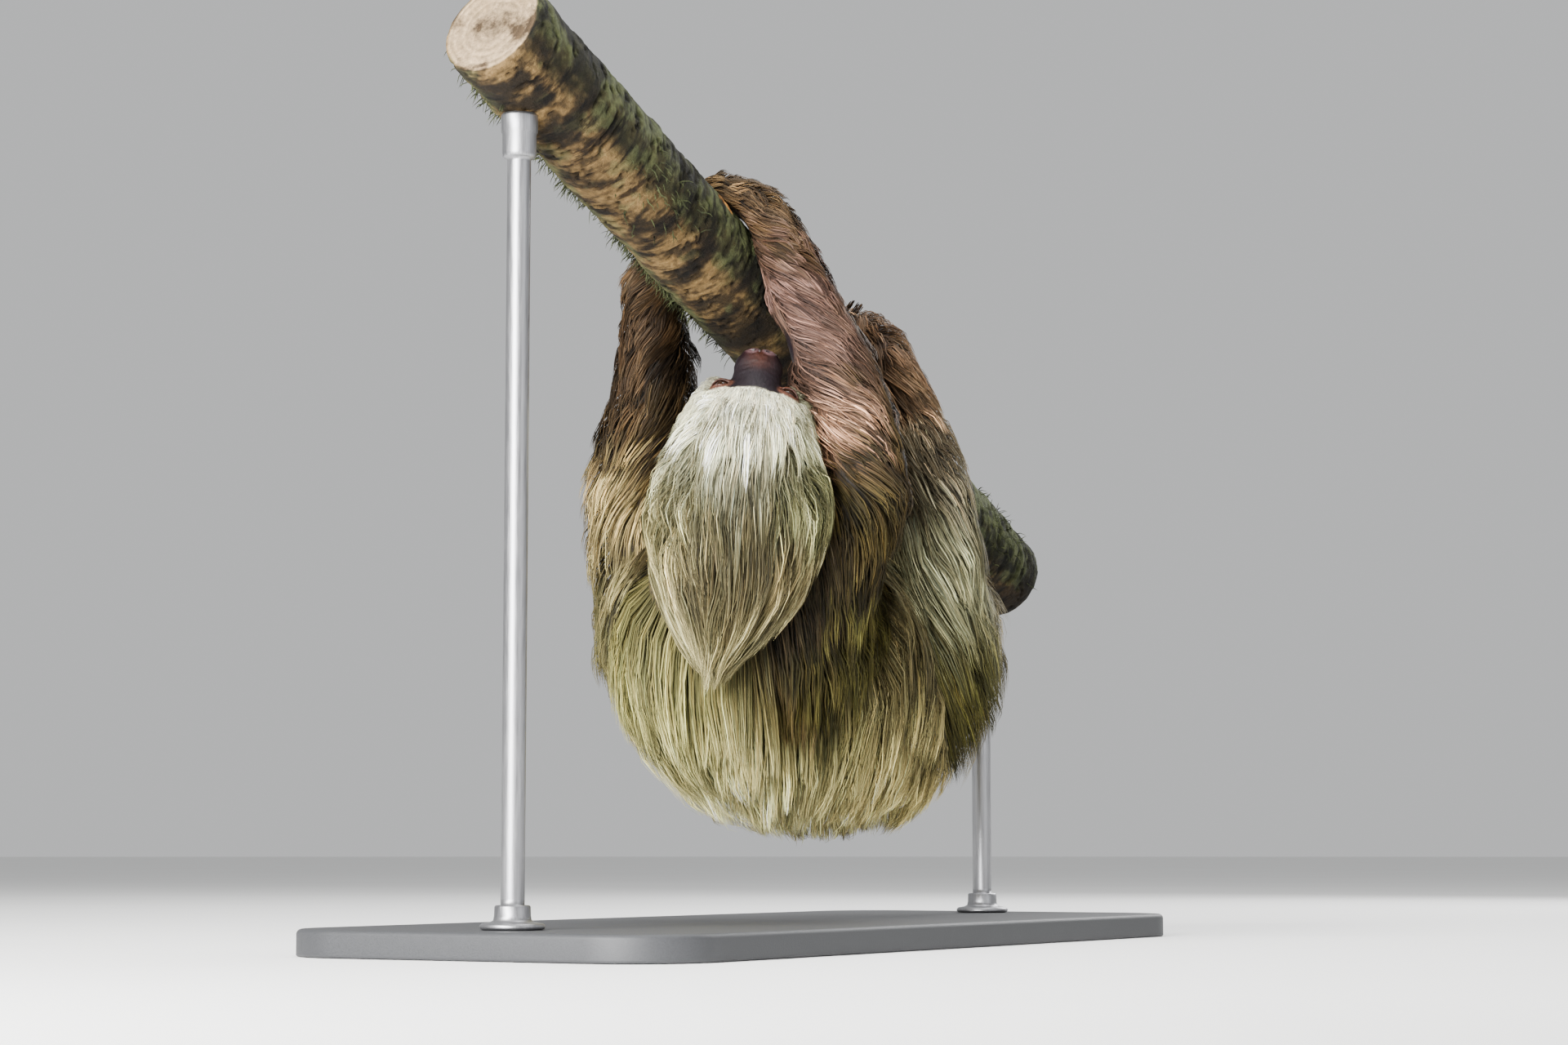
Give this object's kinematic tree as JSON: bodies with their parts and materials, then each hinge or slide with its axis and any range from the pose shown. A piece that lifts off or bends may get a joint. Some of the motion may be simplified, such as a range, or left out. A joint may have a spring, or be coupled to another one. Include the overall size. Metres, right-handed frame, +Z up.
{
  "type": "two-toed sloth",
  "caption": "Life-size still model of a two-toed sloth hanging curled and belly up from a cut length of trunk, on a plain stand with upright rods.",
  "frame": {"origin": "middle of the flat underside of the stand's base", "axes": "+Z up; the sloth's head end and the trunk's high end point towards -Y and a little -X; the sloth's right side is towards +X"},
  "size_m": [0.6436, 0.826, 0.6561],
  "materials": {
    "coat_head": "long pale greenish-cream hair",
    "coat_body": "long straw and olive-tan hair",
    "coat_limbs": "dark to reddish brown hair",
    "bare_skin": "smooth dark purplish-brown skin",
    "eyeball": "wet gloss",
    "claw_horn": "worn satin horn",
    "bark": "tan bark with ring-like lenticels and lichen",
    "stand_plate": "matt dark grey paint",
    "stand_steel": "satin"
  },
  "bodies": {
    "root": {"head": "coat_head", "neck": "coat_head", "torso": "coat_body", "upper_arm_left": "coat_limbs", "forearm_left": "coat_limbs", "hand_left": "coat_limbs", "thigh_left": "coat_limbs", "shank_left": "coat_limbs", "foot_left": "coat_limbs", "upper_arm_right": "coat_limbs", "forearm_right": "coat_limbs", "hand_right": "coat_limbs", "thigh_right": "coat_limbs", "shank_right": "coat_limbs", "foot_right": "coat_limbs", "muzzle": "bare_skin", "ear_left": "bare_skin", "ear_right": "bare_skin", "eye_left": "eyeball", "eye_right": "eyeball", "fore_claw_left_1": "claw_horn", "fore_claw_left_2": "claw_horn", "fore_claw_right_1": "claw_horn", "fore_claw_right_2": "claw_horn", "hind_claw_left_1": "claw_horn", "hind_claw_left_2": "claw_horn", "hind_claw_left_3": "claw_horn", "hind_claw_right_1": "claw_horn", "hind_claw_right_2": "claw_horn", "hind_claw_right_3": "claw_horn", "perch": "bark", "stand_base": "stand_plate", "stand_rod_high": "stand_steel", "stand_rod_low": "stand_steel"}
  },
  "joints": []
}
